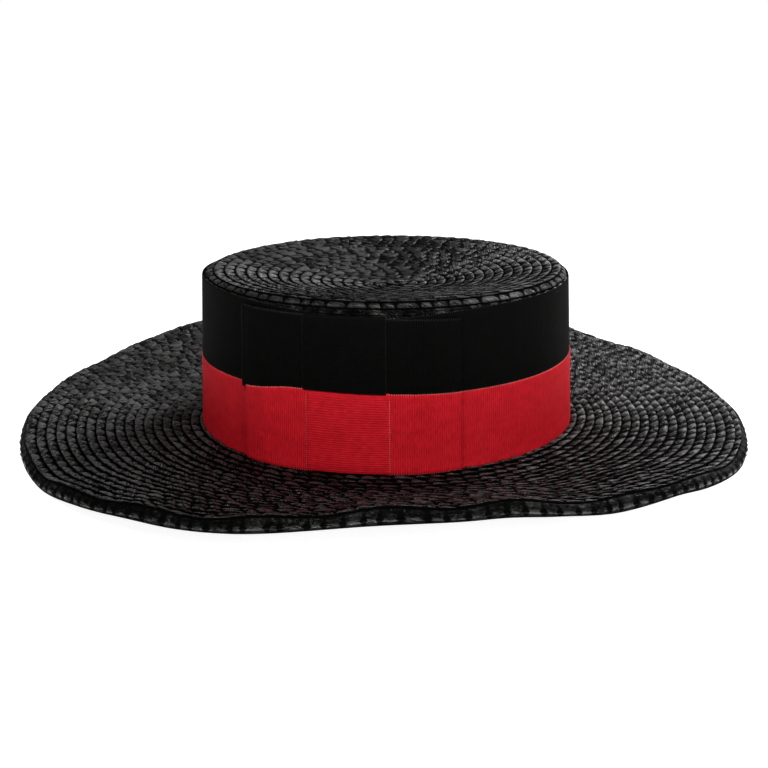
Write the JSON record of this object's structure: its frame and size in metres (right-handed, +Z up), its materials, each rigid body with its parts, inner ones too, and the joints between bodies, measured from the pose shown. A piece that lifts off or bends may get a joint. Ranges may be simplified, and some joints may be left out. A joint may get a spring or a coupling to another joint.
{
  "type": "straw boater hat",
  "caption": "Black braided straw boater hat with a dished tip, a wide waved brim and a hatband of a black and a red ribbon with a flat bow.",
  "frame": {"origin": "under the middle of the hat's outline, on the surface that the hat rests on", "axes": "+Z up through the crown; +X along the longest way across, from the front of the hat to its back; the bow is on the -Y side"},
  "size_m": [0.3852, 0.3512, 0.0847],
  "materials": {
    "straw": "glossy black braided straw",
    "ribbon_black": "matte black grosgrain ribbon",
    "ribbon_red": "satin red grosgrain ribbon"
  },
  "bodies": {
    "root": {"crown": "straw", "brim": "straw", "brim_edge": "straw", "band_red": "ribbon_red", "band_black": "ribbon_black", "bow_red": "ribbon_red", "bow_black": "ribbon_black", "knot_red": "ribbon_red", "knot_black": "ribbon_black"}
  },
  "joints": []
}
